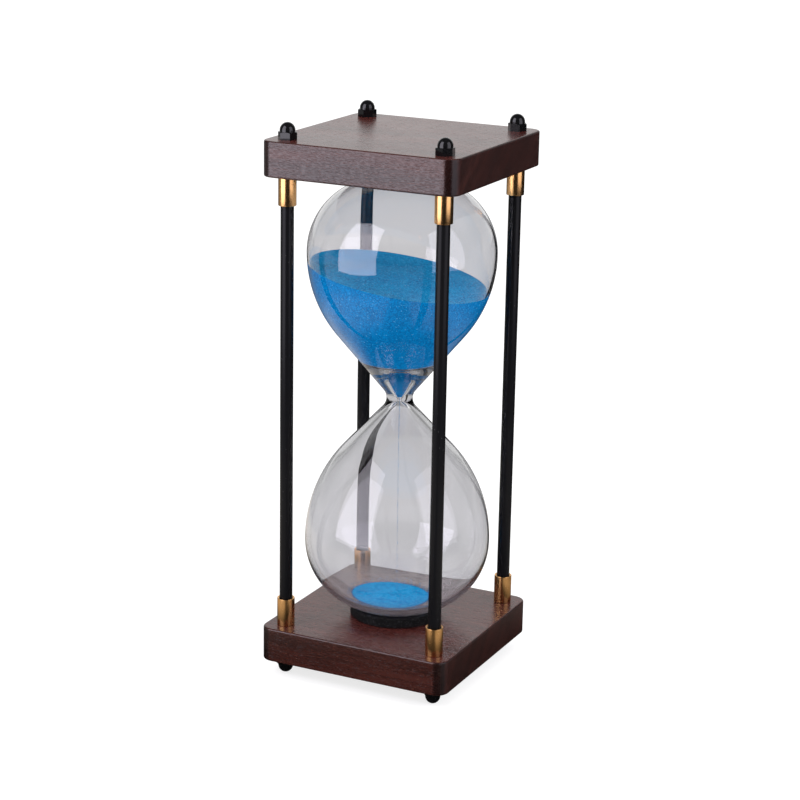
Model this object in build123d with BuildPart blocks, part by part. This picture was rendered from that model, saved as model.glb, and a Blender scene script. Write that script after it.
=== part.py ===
from build123d import *
from math import asin, atan2, cos, degrees, radians, sin, sqrt, tan
import os

# Hourglass in a wooden frame. Two square plates are held apart by four black tubes with brass
# ferrules, and threaded rods through the tubes clamp the frame between acorn nuts. A blown
# glass with two bulbs stands between the plates on foam pads, with blue sand in it.
#
# Millimetres. +Z is up. Z = 0 is the table: the domes of the lower nuts are the feet.
# The glass stands on the axis X = Y = 0, and the front is -Y.

os.makedirs("parts", exist_ok=True)

# ---- Plates ---------------------------------------------------------------------------------
plate_width = 100.0
plate_thickness = 17.0
plate_corner_radius = 6.5
plate_edge_chamfer = 0.6
post_inset = 9.75              # from a plate's edge to a post's axis

# ---- Tie rods, tubes and ferrules -----------------------------------------------------------
rod_diameter = 5.0
rod_hole_clearance = 0.25      # round the rod in a plate
rod_tube_clearance = 0.15      # round the rod in its tube
tube_wall = 0.5
ferrule_clearance = 0.05       # round the tube in its ferrule
ferrule_wall = 1.1
ferrule_length = 14.0
ferrule_rim_chamfer = 0.2

# ---- Acorn nuts -----------------------------------------------------------------------------
nut_across_flats = 8.0
nut_hex_height = 3.6
nut_chamfer_angle = 30.0       # slope that takes off the hexagon's corners
nut_dome_diameter = 7.3
nut_height = 8.0
nut_thread_clearance = 0.05
rod_engagement = 5.0           # how far a rod's end goes into its nut
rod_end_gap = 0.5              # from the rod's end to the bottom of the nut's bore
upper_nut_turns = [12.0, 40.0, 8.0, 33.0]     # degrees, as each nut happened to stop
lower_nut_turns = [25.0, 5.0, 48.0, 18.0]

# ---- Glass ----------------------------------------------------------------------------------
bulb_diameter = 91.0
glass_wall = 1.8
upper_end_wall = 2.4
lower_end_wall = 5.2           # thicker where the lower bulb was sealed
flank_height = 72.0            # from the waist to each bulb's widest place
shoulder_height = 37.3         # from there to the bulb's end
upper_flank_angle = 39.6       # degrees from the axis to the straight part of the flank
lower_flank_angle = 43.0
shoulder_fullness = 0.53       # 1 makes the shoulder round and the end domed, less squares them
waist_diameter = 12.8
neck_radius = 6.6              # the hollow curve outside the waist
pinch_diameter = 1.5           # the hole that the sand runs through
throat_radius = 3.0            # the curve that opens the hole below the pinch
funnel_depth = 19.2            # the thick-walled throat over the pinch
funnel_mouth_diameter = 11.0
funnel_elbow = 13.0            # height at which the funnel's cone turns upright
funnel_elbow_radius = 10.0
funnel_lip_radius = 1.5
cavity_floor_diameter = 36.0   # the level floor round the funnel's mouth
cavity_floor_fillet = 3.0

# ---- Pads -----------------------------------------------------------------------------------
pad_diameter = 45.4
pad_thickness = 5.0
pad_clearance = 0.3            # between the bulb's end and the dish
pad_contact_diameter = 24.0    # the ring on which the dish meets the bulb's end
glass_end_gap = 2.1            # foam squeezed between a bulb's end and its plate

# ---- Sand -----------------------------------------------------------------------------------
sand_clearance = 0.3           # to the glass
sand_level = 60.3              # the upper sand's surface over the waist, on the axis
sand_tilt = 9.1                # degrees
sand_uphill = 197.0            # degrees round from +X, the side where it stands highest
sand_start = 1.5               # the upper sand begins this far over the waist
pile_slope = 5.4               # degrees, of the low cone that the lower pile makes
pile_height = 4.5              # from the cavity's floor to the pile's top
pile_reach = 22.0              # the pile ends within this distance of the axis
pile_offset = 4.0              # the top lies to one side of the axis
pile_side = 206.0              # degrees round from +X
stream_diameter = 0.8

# ---- Worked out from those ------------------------------------------------------------------
rod_hole_radius = rod_diameter / 2 + rod_hole_clearance
tube_bore_radius = rod_diameter / 2 + rod_tube_clearance
tube_radius = tube_bore_radius + tube_wall
ferrule_bore_radius = tube_radius + ferrule_clearance
ferrule_radius = ferrule_bore_radius + ferrule_wall
nut_bore_radius = rod_diameter / 2 + nut_thread_clearance
nut_bore_depth = rod_engagement + rod_end_gap
waist_radius = waist_diameter / 2
pinch_radius = pinch_diameter / 2
bulb_radius = bulb_diameter / 2
cavity_radius = bulb_radius - glass_wall
upper_cavity_rise = shoulder_height - upper_end_wall
lower_cavity_rise = shoulder_height - lower_end_wall
funnel_mouth_radius = funnel_mouth_diameter / 2
cavity_floor_radius = cavity_floor_diameter / 2
stream_radius = stream_diameter / 2

post_spacing = plate_width - 2 * post_inset
bulb_length = flank_height + shoulder_height
upper_cavity_length = flank_height + upper_cavity_rise
lower_cavity_length = flank_height + lower_cavity_rise
base_underside = nut_height
base_top = base_underside + plate_thickness
waist_height = base_top + glass_end_gap + bulb_length
top_underside = waist_height + bulb_length + glass_end_gap
top_surface = top_underside + plate_thickness
post_height = top_underside - base_top
rod_bottom = base_underside - rod_engagement
rod_length = top_surface + rod_engagement - rod_bottom

# Each post's corner: its name, and its place in plan
reach = post_spacing / 2
corners = [
    ("front_left", -reach, -reach),
    ("front_right", reach, -reach),
    ("back_right", reach, reach),
    ("back_left", -reach, reach),
]

# Half sections are drawn on these: across from the axis, and up from the plane's origin
waist_section = Plane(origin=(0, 0, waist_height), x_dir=(1, 0, 0), z_dir=(0, -1, 0))


# ---- Plates ---------------------------------------------------------------------------------
def wooden_plate(underside):
    with BuildPart() as board:
        with BuildSketch(Plane.XY.offset(underside)):
            RectangleRounded(plate_width, plate_width, plate_corner_radius)
        extrude(amount=plate_thickness)
        rims = board.faces().filter_by(Axis.Z).edges()
        chamfer(rims, length=plate_edge_chamfer)
        with BuildSketch(Plane.XY.offset(underside)):
            with GridLocations(post_spacing, post_spacing, 2, 2):
                Circle(rod_hole_radius)
        extrude(amount=plate_thickness, mode=Mode.SUBTRACT)
    return board


base_plate = wooden_plate(base_underside)
base_plate.part.label = "base_plate"
export_step(base_plate.part, "parts/base_plate.step")

top_plate = wooden_plate(top_underside)
top_plate.part.label = "top_plate"
export_step(top_plate.part, "parts/top_plate.step")


# ---- Tie rods, tubes and ferrules -----------------------------------------------------------
def tie_rod(x, y):
    with BuildPart() as rod:
        with BuildSketch(Plane.XY.offset(rod_bottom)):
            with Locations((x, y)):
                Circle(rod_diameter / 2)
        extrude(amount=rod_length)
    return rod


def sleeve(x, y, bottom, length, outer_radius, bore_radius):
    with BuildPart() as tube:
        with BuildSketch(Plane.XY.offset(bottom)):
            with Locations((x, y)):
                Circle(outer_radius)
                Circle(bore_radius, mode=Mode.SUBTRACT)
        extrude(amount=length)
    return tube


def ferrule(x, y, bottom):
    tube = sleeve(x, y, bottom, ferrule_length, ferrule_radius, ferrule_bore_radius)
    with BuildPart() as collar:
        add(tube.part)
        rims = collar.edges().filter_by(GeomType.CIRCLE)
        outer_rims = rims.filter_by(lambda rim: rim.radius > ferrule_bore_radius)
        chamfer(outer_rims, length=ferrule_rim_chamfer)
    return collar


for corner, x, y in corners:
    rod = tie_rod(x, y)
    rod.part.label = f"tie_rod_{corner}"
    export_step(rod.part, f"parts/tie_rod_{corner}.step")

    post = sleeve(x, y, base_top, post_height, tube_radius, tube_bore_radius)
    post.part.label = f"post_{corner}"
    export_step(post.part, f"parts/post_{corner}.step")

    lower_ferrule = ferrule(x, y, base_top)
    lower_ferrule.part.label = f"lower_ferrule_{corner}"
    export_step(lower_ferrule.part, f"parts/lower_ferrule_{corner}.step")

    upper_ferrule = ferrule(x, y, top_underside - ferrule_length)
    upper_ferrule.part.label = f"upper_ferrule_{corner}"
    export_step(upper_ferrule.part, f"parts/upper_ferrule_{corner}.step")


# ---- Acorn nuts -----------------------------------------------------------------------------
def acorn_nut(x, y, seat_height, facing, turn):
    """A nut whose flat seat is at seat_height and whose dome points up (1) or down (-1)."""
    flat = (cos(radians(turn)), sin(radians(turn)), 0)
    seat = Plane(origin=(x, y, seat_height), x_dir=flat, z_dir=(0, 0, facing))
    section = Plane(origin=seat.origin, x_dir=flat, z_dir=-seat.y_dir)
    spindle = Axis(seat.origin, seat.z_dir)
    flat_radius = nut_across_flats / 2
    corner_radius = flat_radius / cos(radians(30))
    chamfer_height = (corner_radius - flat_radius) * sin(radians(nut_chamfer_angle)) \
        / cos(radians(nut_chamfer_angle))
    dome_radius = nut_dome_diameter / 2
    dome_centre = nut_height - dome_radius
    with BuildPart() as nut:
        with BuildSketch(seat):
            RegularPolygon(flat_radius, side_count=6, major_radius=False)
        extrude(amount=nut_hex_height)
        with BuildSketch(section):
            with BuildLine():
                Polyline(
                    (0, 0),
                    (corner_radius, 0),
                    (corner_radius, nut_hex_height - chamfer_height),
                    (flat_radius, nut_hex_height),
                    (0, nut_hex_height),
                    close=True,
                )
            make_face()
        revolve(axis=spindle, mode=Mode.INTERSECT)
        with BuildSketch(section):
            with BuildLine():
                dome = CenterArc((0, dome_centre), dome_radius, 0, 90)
                Polyline(
                    dome @ 1,
                    (0, nut_hex_height / 2),
                    (dome_radius, nut_hex_height / 2),
                    dome @ 0,
                )
            make_face()
        revolve(axis=spindle)
        with BuildSketch(seat):
            Circle(nut_bore_radius)
        extrude(amount=nut_bore_depth, mode=Mode.SUBTRACT)
    return nut


def nut_set(seat_height, facing, turns):
    """The four nuts that hold one plate, one on each rod."""
    nuts = [acorn_nut(x, y, seat_height, facing, turn) for (_, x, y), turn in zip(corners, turns)]
    with BuildPart() as fasteners:
        for nut in nuts:
            add(nut.part)
    return fasteners


upper_nuts = nut_set(top_surface, 1, upper_nut_turns)
upper_nuts.part.label = "upper_nuts"
export_step(upper_nuts.part, "parts/upper_nuts.step")

lower_nuts = nut_set(base_underside, -1, lower_nut_turns)
lower_nuts.part.label = "lower_nuts"
export_step(lower_nuts.part, "parts/lower_nuts.step")


# ---- Glass ----------------------------------------------------------------------------------
# Each function adds lines and arcs of a half section to the line being built. side is 1 for the
# upper bulb and -1 for the lower one, and grow makes room all round for what is fitted to it.
def belly_arc(side, cone_foot, radius, angle, grow=0.0):
    """The arc from a cone, which has cone_foot on it, to upright at the bulb's widest place."""
    slope = radians(angle)
    foot_radius, foot_height = cone_foot
    spare = (flank_height - foot_height) * tan(slope) - (radius - foot_radius)
    arc_radius = spare / (1 / cos(slope) - 1)
    centre = (radius - arc_radius, side * flank_height)
    return CenterArc(centre, arc_radius + grow, -side * angle, side * angle)


def flank(side, start_radius, opening_radius, radius, angle, grow=0.0):
    """An arc that opens from upright at the waist, a cone, and the arc to the widest place."""
    slope = radians(angle)
    centre_radius = start_radius + opening_radius
    foot = (centre_radius - opening_radius * cos(slope), opening_radius * sin(slope))
    opening = CenterArc((centre_radius, 0), opening_radius - grow, 180, -side * angle)
    belly = belly_arc(side, foot, radius, angle, grow)
    Line(opening @ 1, belly @ 0)


def shoulder_arcs(radius, rise):
    """The shoulder's radius, the crown's radius, and the degrees through which the first turns.

    upright and level are the lengths of the tangents from the two ends to where they cross the
    tangent that the arcs share.
    """
    span = rise + shoulder_fullness * radius
    discriminant = span**2 + 2 * shoulder_fullness * (radius**2 + rise**2)
    upright = (sqrt(discriminant) - span) / (2 * shoulder_fullness)
    level = shoulder_fullness * upright
    turn = atan2(radius - level, rise - upright)
    return upright / tan(turn / 2), level / tan(radians(45) - turn / 2), degrees(turn)


def shoulder(side, radius, rise, grow=0.0):
    """Two arcs from the widest place to the bulb's end, where they meet the axis squarely."""
    round_radius, crown_radius, turn = shoulder_arcs(radius, rise)
    round_centre = (radius - round_radius, side * flank_height)
    crown_centre = (0, side * (flank_height + rise - crown_radius))
    CenterArc(round_centre, round_radius + grow, 0, side * turn)
    CenterArc(crown_centre, crown_radius + grow, side * turn, side * (90 - turn))


def bulb_outside(side, angle):
    flank(side, waist_radius, neck_radius, bulb_radius, angle)
    shoulder(side, bulb_radius, shoulder_height)


def upper_cavity(grow=0.0):
    """The inside of the upper bulb: a funnel, the floor round its mouth, and the bulb."""
    slope = radians(upper_flank_angle)
    mouth = funnel_mouth_radius + grow
    floor = funnel_depth - grow
    floor_edge = cavity_floor_radius + grow * (1 - sin(slope)) / cos(slope)
    cone_foot = (cavity_floor_radius, funnel_depth)
    belly = belly_arc(1, cone_foot, cavity_radius, upper_flank_angle, grow)
    FilletPolyline(
        (pinch_radius + grow, 0),
        (mouth, funnel_elbow),
        (mouth, floor),
        (floor_edge, floor),
        belly @ 0,
        radius=(funnel_elbow_radius, funnel_lip_radius, cavity_floor_fillet),
    )
    shoulder(1, cavity_radius, upper_cavity_rise, grow)


def lower_cavity(grow=0.0):
    """The inside of the lower bulb, which opens straight from the pinch."""
    flank(-1, pinch_radius, throat_radius, cavity_radius, lower_flank_angle, grow)
    shoulder(-1, cavity_radius, lower_cavity_rise, grow)


with BuildPart() as glass:
    with BuildSketch(waist_section):
        with BuildLine():
            bulb_outside(1, upper_flank_angle)
            Line((0, bulb_length), (0, upper_cavity_length))
            upper_cavity()
            lower_cavity()
            Line((0, -lower_cavity_length), (0, -bulb_length))
            bulb_outside(-1, lower_flank_angle)
        make_face()
    revolve(axis=Axis.Z)
glass.part.label = "glass"
export_step(glass.part, "parts/glass.step")


# ---- Pads -----------------------------------------------------------------------------------
def pad(side, plate_face):
    """A foam disc on a plate, with a level-bottomed dish that a bulb's end sits in."""
    _, crown_radius, _ = shoulder_arcs(bulb_radius, shoulder_height)
    fitted_radius = crown_radius + pad_clearance
    slope = asin(pad_contact_diameter / 2 / fitted_radius)
    floor_radius = fitted_radius * tan(slope / 2)
    floor = glass_end_gap - pad_clearance
    rim_radius = floor_radius + (pad_thickness - floor) / tan(slope)
    section = Plane(origin=(0, 0, plate_face), x_dir=(1, 0, 0), z_dir=(0, side, 0))
    with BuildPart() as disc:
        with BuildSketch(Plane.XY.offset(plate_face)):
            Circle(pad_diameter / 2)
        extrude(amount=-side * pad_thickness)
        with BuildSketch(section):
            with BuildLine():
                Polyline(
                    (0, floor),
                    (floor_radius, floor),
                    (rim_radius, pad_thickness),
                    (0, pad_thickness),
                    close=True,
                )
            make_face()
        revolve(axis=Axis.Z, mode=Mode.SUBTRACT)
    return disc


lower_pad = pad(-1, base_top)
lower_pad.part.label = "lower_pad"
export_step(lower_pad.part, "parts/lower_pad.step")

upper_pad = pad(1, top_underside)
upper_pad.part.label = "upper_pad"
export_step(upper_pad.part, "parts/upper_pad.step")

# ---- Sand -----------------------------------------------------------------------------------
uphill = Vector(cos(radians(sand_uphill)), sin(radians(sand_uphill)), 0)
surface_normal = Vector(0, 0, cos(radians(sand_tilt))) - uphill * sin(radians(sand_tilt))
sand_surface = Plane(origin=(0, 0, waist_height + sand_level), z_dir=surface_normal)
sand_floor = Plane.XY.offset(waist_height + sand_start)

with BuildPart() as upper_sand:
    with BuildSketch(waist_section):
        with BuildLine():
            upper_cavity(grow=-sand_clearance)
            Polyline(
                (0, upper_cavity_length - sand_clearance),
                (0, 0),
                (pinch_radius - sand_clearance, 0),
            )
        make_face()
    revolve(axis=Axis.Z)
    split(bisect_by=sand_surface, keep=Keep.BOTTOM)
    split(bisect_by=sand_floor, keep=Keep.TOP)
upper_sand.part.label = "upper_sand"
export_step(upper_sand.part, "parts/upper_sand.step")

_, cavity_crown_radius, _ = shoulder_arcs(cavity_radius, lower_cavity_rise)
cavity_crown_centre = waist_height - lower_cavity_length + cavity_crown_radius
pile_top = waist_height - lower_cavity_length + pile_height
pile_x = pile_offset * cos(radians(pile_side))
pile_y = pile_offset * sin(radians(pile_side))
pile_rise = tan(radians(pile_slope))
stream_foot = pile_top - (pile_offset - stream_radius) * pile_rise


def under_pile(radius):
    """A point of the half section, the sand's clearance over the lower bulb's floor."""
    fitted_radius = cavity_crown_radius - sand_clearance
    return (radius, cavity_crown_centre - sqrt(fitted_radius**2 - radius**2))


_, pile_rim = under_pile(pile_reach)
pile_ceiling = pile_rim + pile_height      # higher than the cone that shapes the pile's top

with BuildPart() as lower_sand:
    with BuildSketch(Plane.XZ):
        with BuildLine():
            Polyline(
                under_pile(0),
                under_pile(pile_reach / 2),
                under_pile(pile_reach),
                (pile_reach, pile_ceiling),
                (0, pile_ceiling),
                close=True,
            )
        make_face()
    revolve(axis=Axis.Z)
    with Locations((pile_x, pile_y, pile_top)):
        Cone(
            2 * pile_reach,
            0,
            2 * pile_reach * pile_rise,
            align=(Align.CENTER, Align.CENTER, Align.MAX),
            mode=Mode.INTERSECT,
        )
lower_sand.part.label = "lower_sand"
export_step(lower_sand.part, "parts/lower_sand.step")

with BuildPart() as sand_stream:
    with BuildSketch(sand_floor):
        Circle(stream_radius)
    extrude(amount=stream_foot - sand_floor.origin.Z)
sand_stream.part.label = "sand_stream"
export_step(sand_stream.part, "parts/sand_stream.step")
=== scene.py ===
"""Hourglass in a wooden frame: its finishes, its blown glass, its sand and the stage.

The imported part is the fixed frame. Plates, tubes, ferrules, glass, pads and sand are made here as
finer meshes in the same places. The nuts and tie rods keep their shapes and get their finishes.
"""

from math import asin, atan2, cos, hypot, pi, radians, sin, sqrt, tan
from random import Random

import bmesh
import bpy
from bpy.props import FloatProperty, FloatVectorProperty, IntProperty, PointerProperty
from mathutils import Color, Matrix, Vector, noise


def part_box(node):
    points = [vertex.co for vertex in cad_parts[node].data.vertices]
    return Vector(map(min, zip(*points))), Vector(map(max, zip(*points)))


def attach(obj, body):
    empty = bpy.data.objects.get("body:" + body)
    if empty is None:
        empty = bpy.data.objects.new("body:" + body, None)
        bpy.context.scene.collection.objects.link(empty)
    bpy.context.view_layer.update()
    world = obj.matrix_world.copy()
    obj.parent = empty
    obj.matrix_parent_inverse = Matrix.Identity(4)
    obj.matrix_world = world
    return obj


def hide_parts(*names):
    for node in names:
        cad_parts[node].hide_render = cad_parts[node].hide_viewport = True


bl_info = {
    "name": "Hourglass",
    "version": (1, 0, 0),
    "blender": (4, 5, 0),
    "location": "3D View > Sidebar > Hourglass",
    "description": "Finishes an hourglass with two blown bulbs in a wooden frame",
    "category": "Object",
}

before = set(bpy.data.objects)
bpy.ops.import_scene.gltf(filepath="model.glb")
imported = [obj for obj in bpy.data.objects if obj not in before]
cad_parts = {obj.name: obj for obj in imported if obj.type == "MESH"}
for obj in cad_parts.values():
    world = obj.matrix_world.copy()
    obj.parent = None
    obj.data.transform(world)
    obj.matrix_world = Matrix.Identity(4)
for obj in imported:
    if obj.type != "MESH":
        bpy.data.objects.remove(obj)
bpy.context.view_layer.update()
mm = 0.001
corners = ("front_left", "front_right", "back_right", "back_left")
boxes = {name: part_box(name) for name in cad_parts}

# The stage's pale back lies towards (-back_x, back_y), and its lamps share a tint.
back_x, back_y = 0.440, 0.898
lamp_tint = (0.98, 0.94, 1.07)

# The glass is turned about Z, and its waist is at half its height.
glass_low, glass_high = boxes["glass"]
half_length = (glass_high.z - glass_low.z) / 2
waist_height = (glass_high.z + glass_low.z) / 2
bulb_radius = (glass_high.x - glass_low.x) / 2


# ---- Sizes and colours ----
def length(name, description, default):
    return FloatProperty(name=name, description=description, default=default, unit="LENGTH",
                         min=0.0, precision=5)


def angle(name, description, default):
    return FloatProperty(name=name, description=description, default=radians(default),
                         subtype="ANGLE")


def share(name, description, default):
    return FloatProperty(name=name, description=description, default=default, min=0.0, max=1.0,
                         subtype="FACTOR")


def colour(name, description, default):
    return FloatVectorProperty(name=name, description=description, default=default, size=3,
                               min=0.0, max=1.0, subtype="COLOR")


class GlassSizes(bpy.types.PropertyGroup):
    """The blown glass: two bulbs, the waist between them and the funnel over it."""

    wall: length("Wall", "Thickness of the bulbs' sides", 1.0 * mm)
    upper_end: length("Upper end", "Thickness of the upper bulb's end", 1.2 * mm)
    lower_end: length("Lower end", "Thickness where the lower bulb was sealed", 2.6 * mm)
    flank_height: length("Flank height", "From the waist to each bulb's widest place", 72 * mm)
    upper_flank: angle("Upper flank", "From the axis to the upper bulb's straight side", 39.6)
    lower_flank: angle("Lower flank", "From the axis to the lower bulb's straight side", 43.0)
    shoulder_fullness: share("Shoulder fullness", "1 is round, less is flatter", 0.53)
    waist: length("Waist", "Outside diameter of the waist", 12.8 * mm)
    neck: length("Neck radius", "Radius of the hollow outside the waist", 6.6 * mm)
    pinch: length("Pinch", "Diameter of the hole that the sand runs through", 1.5 * mm)
    throat: length("Throat radius", "Radius that opens the hole under the pinch", 3.0 * mm)
    funnel_depth: length("Funnel depth", "From the upper bulb's floor to the pinch", 19.2 * mm)
    funnel_mouth: length("Funnel mouth", "Diameter of the funnel's mouth", 11 * mm)
    funnel_elbow: length("Funnel elbow", "Height at which the funnel turns upright", 13 * mm)
    funnel_elbow_radius: length("Elbow radius", "Radius of that turn", 10 * mm)
    funnel_lip: length("Lip radius", "Radius of the funnel's lip", 1.5 * mm)
    floor_width: length("Floor", "Diameter of the level floor round the funnel", 36 * mm)
    floor_fillet: length("Floor fillet", "Radius between that floor and the side", 3.0 * mm)
    waviness: length("Waviness", "How far the blown surface strays from round", 0.09 * mm)
    turns: IntProperty(name="Turns", description="Faces round the glass", default=176, min=24)


class SandSizes(bpy.types.PropertyGroup):
    """The sand in both bulbs and on its way between them."""

    gap: length("Gap", "Between the sand and the funnel's glass", 0.2 * mm)
    press: length("Press", "How far the sand is pressed into the bulbs' faces", 0.15 * mm)
    level: length("Level", "The upper sand's surface over the waist", 60.3 * mm)
    tilt: angle("Tilt", "Slope of the upper sand's surface", 9.1)
    uphill: angle("Uphill", "Side where it stands highest, round from +X", 197.0)
    pile_slope: angle("Pile slope", "Slope of the lower pile", 7.0)
    pile_height: length("Pile height", "From the lower bulb's floor to the pile's top", 5.3 * mm)
    pile_offset: length("Pile offset", "From the axis to the pile's top", 10 * mm)
    pile_side: angle("Pile side", "Side to which the top lies, round from +X", 206.0)
    grain: length("Grain", "Width of a grain", 0.50 * mm)
    roughness: length("Roughness", "How uneven a settled surface is", 0.07 * mm)


class FrameSizes(bpy.types.PropertyGroup):
    """The wooden plates, the tubes and ferrules, and the foam pads."""

    corner: length("Plate corner", "Radius of the plates' upright corners", 6.5 * mm)
    edge: length("Plate edge", "Radius of the plates' sanded edges", 0.8 * mm)
    rod_hole: length("Rod hole", "Diameter of the holes for the rods", 5.5 * mm)
    tube_wall: length("Tube wall", "Thickness of the posts' tubes", 0.5 * mm)
    tube_edge: length("Tube edge", "Radius of a tube's rim", 0.12 * mm)
    ferrule_wall: length("Ferrule wall", "Thickness of the brass ferrules", 1.1 * mm)
    ferrule_edge: length("Ferrule edge", "Radius of a ferrule's rim", 0.2 * mm)
    pad_edge: length("Pad edge", "Radius of the pads' cut edge", 0.5 * mm)
    pad_seat: length("Pad seat", "Diameter of the ring that a bulb's end rests on", 24 * mm)
    pad_floor: length("Pad floor", "Foam left under the dish", 1.8 * mm)


class Colours(bpy.types.PropertyGroup):
    """The colours of every finish."""

    wood: colour("Wood", "Mahogany between the pores", (0.052, 0.0125, 0.0088))
    wood_dark: colour("Wood, dark", "Mahogany's dark figure and pores", (0.020, 0.0048, 0.0036))
    # Painted shade: this colour darkens the boards' rounded upright corners.
    wood_corner_painted_shade: colour("Wood, corner", "The darker stain on the corners", (0.006, 0.0012, 0.001))
    # Painted light: this colour is added to the boards' wide faces, making them lighter and redder
    # as if lit from above.
    wood_level_painted_light: colour("Wood, level", "What a board's wide faces add", (0.034, 0.0085, 0.0078))
    # Both real wear and painted highlight: the thin lacquer on the sanded edges, and the pale
    # flecks on the long side faces that stand in for light caught by pores and ripples.
    wood_wear_and_highlight: colour("Wood, worn", "Thin lacquer, and pale flecks", (0.115, 0.043, 0.027))
    brass: colour("Brass", "The ferrules", (0.82, 0.485, 0.205))
    brass_speck: colour("Brass, specks", "Specks of tarnish", (0.25, 0.13, 0.05))
    tube: colour("Tube", "The posts' black paint", (0.006, 0.006, 0.007))
    tube_scuff: colour("Tube, scuffs", "Scuffed paint", (0.025, 0.025, 0.027))
    dust: colour("Dust", "Specks of dust on the posts", (0.20, 0.20, 0.21))
    nut: colour("Nut", "The acorn nuts' black lacquer", (0.004, 0.004, 0.0045))
    nut_rub: colour("Nut, rubbed", "Rubbed lacquer", (0.035, 0.035, 0.037))
    steel: colour("Steel", "The zinc on the tie rods", (0.60, 0.61, 0.62))
    steel_dull: colour("Steel, dull", "Zinc that has dulled", (0.42, 0.43, 0.42))
    foam: colour("Foam", "The pads", (0.002, 0.002, 0.0022))
    foam_fleck: colour("Foam, flecks", "Pale granules in the pads", (0.035, 0.035, 0.037))
    glass: colour("Glass", "The tint of the glass", (0.968, 0.968, 0.975))
    glass_shade: colour("Glass, shade", "The light that it lets by", (0.95, 0.95, 0.955))
    glass_depth: colour("Glass, deep", "What thick glass turns white light to", (0.40, 0.41, 0.43))
    # Partly haze and partly painted reflection: the pale layer towards the lower bulb's sealed end.
    glass_haze_and_reflection: colour("Glass, haze", "The haze at the sealed end", (0.62, 0.58, 0.62))
    sand: colour("Sand", "The dyed grains", (0.0003, 0.240, 0.60))
    sand_dark: colour("Sand, dark", "The deeper dyed grains", (0.0001, 0.145, 0.40))
    # Painted light: upward-facing sand is given this lighter colour.
    sand_top_painted_light: colour("Sand, loose", "The grains on a level surface", (0.012, 0.36, 0.68))
    # Painted highlight: grains that glint are given this lighter colour.
    sand_painted_glint: colour("Sand, light", "The grains that glint", (0.16, 0.60, 0.92))
    floor: colour("Floor", "The floor of the stage", (0.86, 0.86, 0.86))


# ---- Shader writing ----
class Value:
    """A socket of a shader. Arithmetic on it adds Math nodes."""

    def __init__(self, graph, socket):
        self.graph = graph
        self.socket = socket

    def output(self, name):
        return Value(self.graph, self.socket.node.outputs[name])

    def math(self, operation, *operands):
        return self.graph.node("ShaderNodeMath", {"operation": operation},
                               dict(enumerate(operands)))

    def __add__(self, other):
        return self.math("ADD", self, other)

    def __radd__(self, other):
        return self.math("ADD", other, self)

    def __sub__(self, other):
        return self.math("SUBTRACT", self, other)

    def __rsub__(self, other):
        return self.math("SUBTRACT", other, self)

    def __mul__(self, other):
        return self.math("MULTIPLY", self, other)

    def __rmul__(self, other):
        return self.math("MULTIPLY", other, self)

    def __pow__(self, other):
        return self.math("POWER", self, other)

    def __abs__(self):
        return self.math("ABSOLUTE", self)


class Graph:
    """The nodes of one material, or of the world."""

    def __init__(self, tree):
        self.tree = tree
        tree.nodes.clear()

    def node(self, kind, settings=None, sockets=None, output=0):
        """Adds a node with its settings, then the values, links or colours of its sockets."""
        made = self.tree.nodes.new(kind)
        for key, value in (settings or {}).items():
            setattr(made, key, value)
        for key, value in (sockets or {}).items():
            if isinstance(value, Value):
                self.tree.links.new(value.socket, made.inputs[key])
            else:
                made.inputs[key].default_value = \
                    (*value, 1.0) if isinstance(value, Color) else value
        return Value(self, made.outputs[output]) if len(made.outputs) else None

    def place(self, kind="Object"):
        return self.node("ShaderNodeTexCoord", output=kind)

    def split(self, vector):
        x = self.node("ShaderNodeSeparateXYZ", sockets={0: vector})
        return x, x.output("Y"), x.output("Z")

    def blend(self, factor, first, second, how="MIX"):
        """Mixes two colours."""
        return self.node("ShaderNodeMix", {"data_type": "RGBA", "blend_type": how},
                         {0: factor, 6: first, 7: second}, output=2)

    def merge(self, factor, first, second):
        """Mixes two shaders."""
        return self.node("ShaderNodeMixShader", sockets={0: factor, 1: first, 2: second})

    def fade(self, value, low, high):
        """0 below low, 1 over high, and smooth between."""
        return self.node("ShaderNodeMapRange", {"interpolation_type": "SMOOTHSTEP"},
                         {"Value": value, "From Min": low, "From Max": high})

    def clouds(self, vector, scale, detail=2.0, rough=0.5):
        """Soft noise. Its scale is per metre."""
        return self.node("ShaderNodeTexNoise", sockets={
            "Vector": vector, "Scale": scale, "Detail": detail, "Roughness": rough})

    def streaks(self, x, y, z, detail=2.0, rough=0.5):
        """Clouds at a scale of its own along each axis. x, y and z are already scaled."""
        place = self.node("ShaderNodeCombineXYZ", sockets={0: x, 1: y, 2: z})
        return self.clouds(place, 1.0, detail, rough)

    def cells(self, vector, scale):
        return self.node("ShaderNodeTexVoronoi", sockets={"Vector": vector, "Scale": scale},
                         output="Color")

    def bump(self, height, distance, strength=1.0):
        return self.node("ShaderNodeBump", sockets={
            "Height": height, "Distance": distance, "Strength": strength})

    def surface(self, sockets):
        """The shader that most finishes end in, and the material's output."""
        shader = self.node("ShaderNodeBsdfPrincipled", sockets=sockets)
        self.node("ShaderNodeOutputMaterial", sockets={"Surface": shader})


def depth_of(x, y):
    """How far a place lies from the axis towards the stage's back."""
    return y * back_y - x * back_x


def finish(write):
    """Makes the function that writes a finish's nodes give its material, which is made once."""
    def give(*values, name=write.__name__):
        made = bpy.data.materials.get(name)
        if made is None:
            made = bpy.data.materials.new(name)
            made.use_nodes = True
            write(Graph(made.node_tree), *values)
        return made

    return give


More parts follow.
